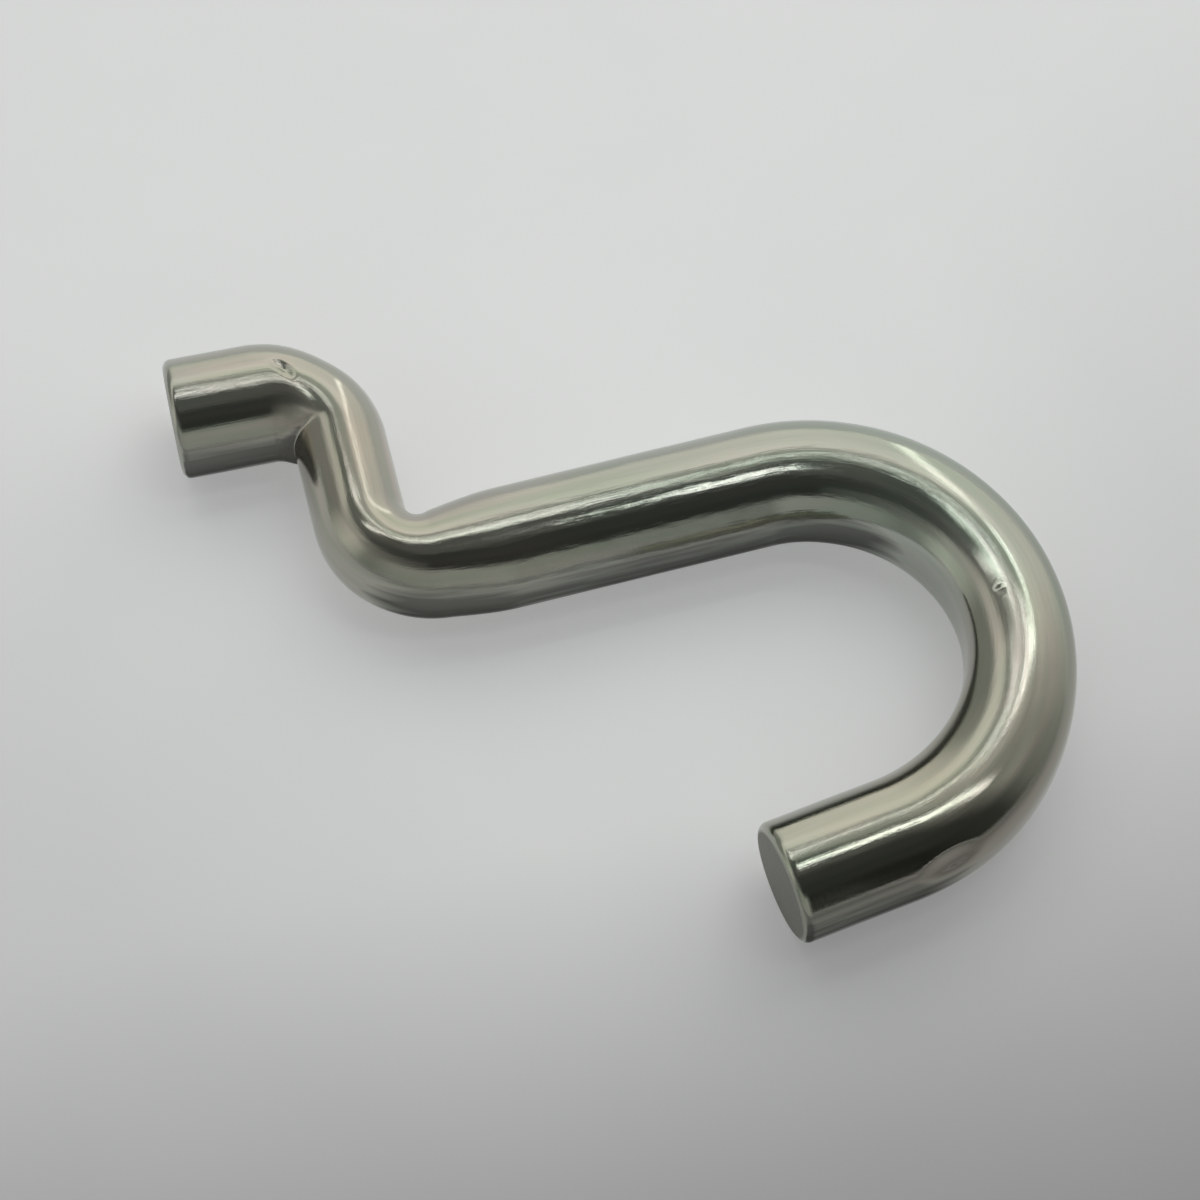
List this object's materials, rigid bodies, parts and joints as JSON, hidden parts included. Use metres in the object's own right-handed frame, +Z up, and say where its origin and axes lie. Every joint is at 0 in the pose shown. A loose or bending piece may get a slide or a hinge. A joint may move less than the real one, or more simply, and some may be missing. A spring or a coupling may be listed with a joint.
{
  "type": "spring hook",
  "caption": "Bent round-bar hook: a stepped anchor peg on one side of a straight shank, and a wide open hook that holds the end loop of an extension spring.",
  "frame": {"origin": "middle of the plan outline, on the surface that the hook lies on", "axes": "+X along the shank towards the hook, +Y to the side the peg is stepped to, +Z up, square to the plane of the bends"},
  "size_m": [0.0398, 0.0374, 0.006],
  "materials": {
    "plated_steel": "bright zinc plate over drawn bar, with fine lines along the bar, small die marks and dull cut ends"
  },
  "bodies": {
    "root": {"spring_hook": "plated_steel"}
  },
  "joints": []
}
